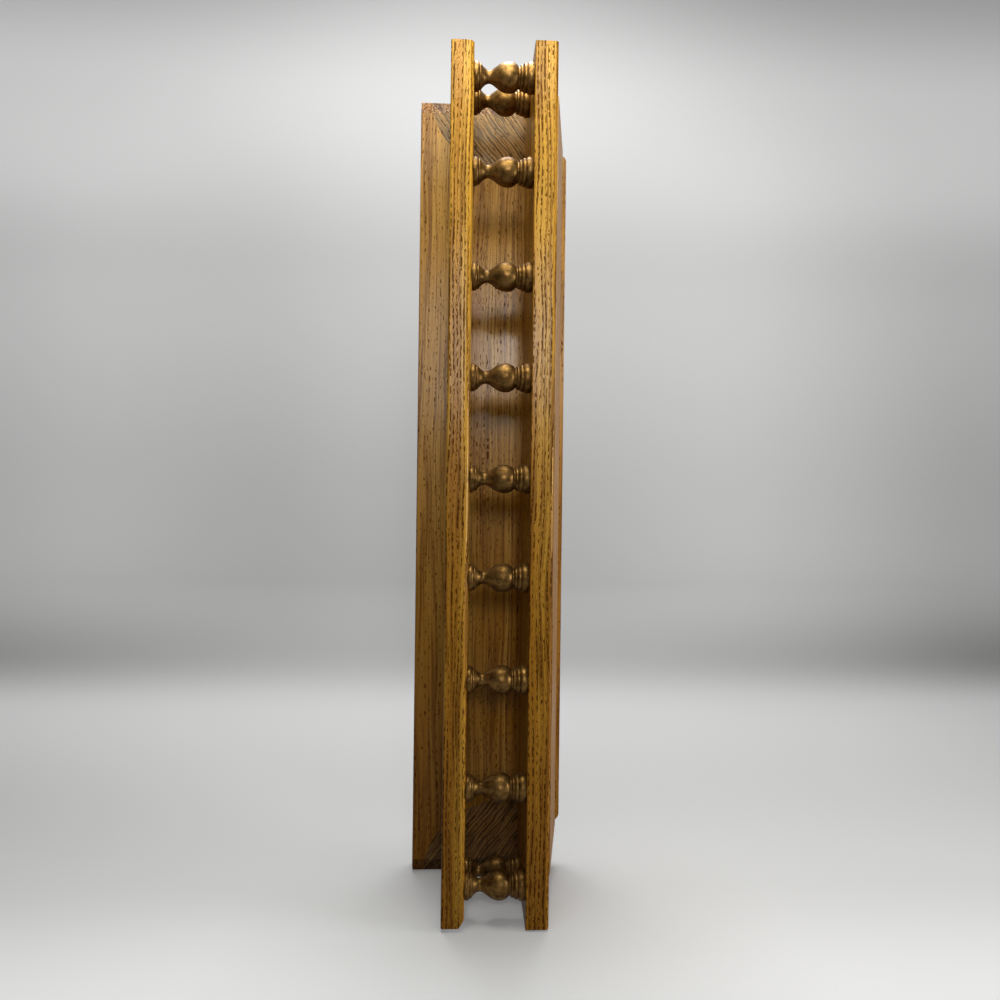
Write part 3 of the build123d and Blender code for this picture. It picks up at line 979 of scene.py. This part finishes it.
    def paper(self) -> bpy.types.Material:
        """Make the paper, seen from its face only so that it hides nothing from behind.

        Returns:
            The material.
        """
        skin = Skin("Sweep paper")
        desk = skin.desk
        rays = desk.add("ShaderNodeLightPath").outputs
        unseen, lit = srgb(*[self.unseen_shade] * 3), srgb(*[self.lit_shade] * 3)
        skin.fill(Base_Color=desk.blend(rays["Is Camera Ray"], unseen, lit), Roughness=self.paper_roughness,
                  Specular_IOR_Level=self.paper_gloss)
        seen = desk.math("MAXIMUM", rays["Is Camera Ray"],
                         desk.math("MAXIMUM", rays["Is Glossy Ray"], rays["Is Transmission Ray"]))
        shine = desk.add("ShaderNodeEmission")
        desk.feed(shine.inputs["Color"], self.glow_colour(desk))
        desk.feed(shine.inputs["Strength"], seen)
        both, mix = desk.add("ShaderNodeAddShader"), desk.add("ShaderNodeMixShader")
        desk.feed(both.inputs[0], skin.surface.outputs[0])
        desk.feed(both.inputs[1], shine.outputs[0])
        desk.feed(mix.inputs[0], desk.add("ShaderNodeNewGeometry").outputs["Backfacing"])
        desk.feed(mix.inputs[1], both.outputs[0])
        desk.feed(mix.inputs[2], desk.add("ShaderNodeBsdfTransparent").outputs[0])
        desk.feed(skin.material.node_tree.nodes["Material Output"].inputs["Surface"], mix.outputs[0])
        return skin.material


@dataclass
class Lamp:
    """A soft rectangular lamp."""

    name: str
    place: Point
    aim: Point
    power: float
    width: float
    height: float
    colour: Colour = (1.0, 1.0, 1.0)
    spread: float = 180.0

    def build(self) -> None:
        """Hang the lamp and turn it to its aim."""
        data = bpy.data.lights.new(self.name, "AREA")
        data.shape = "RECTANGLE"
        data.size, data.size_y = self.width, self.height
        data.energy = self.power
        data.color = self.colour
        data.spread = math.radians(self.spread)
        lamp = bpy.data.objects.new(self.name, data)
        lamp.location = self.place
        lamp.rotation_euler = (Vector(self.aim) - Vector(self.place)).to_track_quat("-Z", "Y").to_euler()
        bpy.context.scene.collection.objects.link(lamp)


@dataclass
class Studio:
    """Lamps, world and camera."""

    eye: Point = (-0.01181, -0.61959, 0.04481)
    aim: Point = (-0.01059, 0.0, 0.01623)
    up: Point = (1.0, 0.0, 0.01205)
    focal_pixels: float = 758.5
    frame_pixels: float = 1000.0
    sensor_mm: float = 36.0
    nearest: float = 0.01
    world_colour: Colour = (0.96, 0.98, 1.0)
    world_strength: float = 0.04
    lamps: tuple[Lamp, ...] = (
        Lamp("Key softbox", (0.46, -0.23, 0.03), (0.28, -0.08, 0.02), 1.35, 0.24, 0.24, (1.0, 1.0, 0.86)),
        Lamp("Overhead softbox", (1.30, 0.16, 0.03), (-0.30, -0.02, 0.03), 7.0, 0.46, 0.46, spread=110.0),
        Lamp("Front softbox", (0.41, -1.50, -0.02), (0.20, 0.0, 0.02), 0.62, 0.40, 0.40, spread=60.0),
        Lamp("Glint lamp", (0.41, -1.50, -0.074), (0.20, 0.0, 0.02), 0.14, 0.10, 0.07, spread=60.0),
        Lamp("Side softbox", (0.05, -0.30, -1.0), (0.0, -0.03, 0.0), 2.7, 0.40, 0.40, spread=120.0),
    )

    def light(self) -> None:
        """Set the world's light and hang the lamps."""
        scene = bpy.context.scene
        world = scene.world or bpy.data.worlds.new("Studio")
        scene.world = world
        world.use_nodes = True
        background = world.node_tree.nodes["Background"]
        background.inputs["Color"].default_value = (*self.world_colour, 1.0)
        background.inputs["Strength"].default_value = self.world_strength
        for lamp in self.lamps:
            lamp.build()
        scene.view_settings.view_transform = "Standard"

    def aim_camera(self) -> None:
        """Stand the camera where the photograph was taken, turned on its side."""
        ahead = np.subtract(self.aim, self.eye)
        ahead /= np.linalg.norm(ahead)
        right = np.cross(ahead, self.up)
        right /= np.linalg.norm(right)
        top = np.cross(right, ahead)
        turn = Matrix(np.stack([right, top, -ahead], axis=1).tolist()).to_4x4()
        data = bpy.data.cameras.new("Camera")
        data.sensor_width = self.sensor_mm
        data.sensor_fit = "HORIZONTAL"
        data.lens = self.focal_pixels / self.frame_pixels * self.sensor_mm
        data.clip_start = self.nearest
        camera = bpy.data.objects.new("Camera", data)
        camera.matrix_world = Matrix.Translation(self.eye) @ turn
        bpy.context.scene.collection.objects.link(camera)
        bpy.context.scene.camera = camera


def plain(box: object) -> list[list[float]]:
    """Turn a box's corners into plain lists of numbers."""
    return [[float(value) for value in corner] for corner in box]


def main() -> None:
    """Load the frame, dress every part, and set the studio."""
    logging.basicConfig(level=logging.INFO, format="%(name)s %(message)s")
    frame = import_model()
    sizes = {"cad": plain(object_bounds())}
    dresser = Dresser(frame["nodes"])
    grain, wear = OakGrain(), HandlingWear()
    back_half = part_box("back_board")[1].x
    for assembly in (Casework(back_half), Gallery(), Fixings()):
        assembly.dress(dresser, grain, wear)
    Sweep(foot_x=sizes["cad"][0][0]).build()
    studio = Studio()
    studio.light()
    studio.aim_camera()
    sizes["visual"] = plain(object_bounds())


if __name__ == "__main__":
    main()
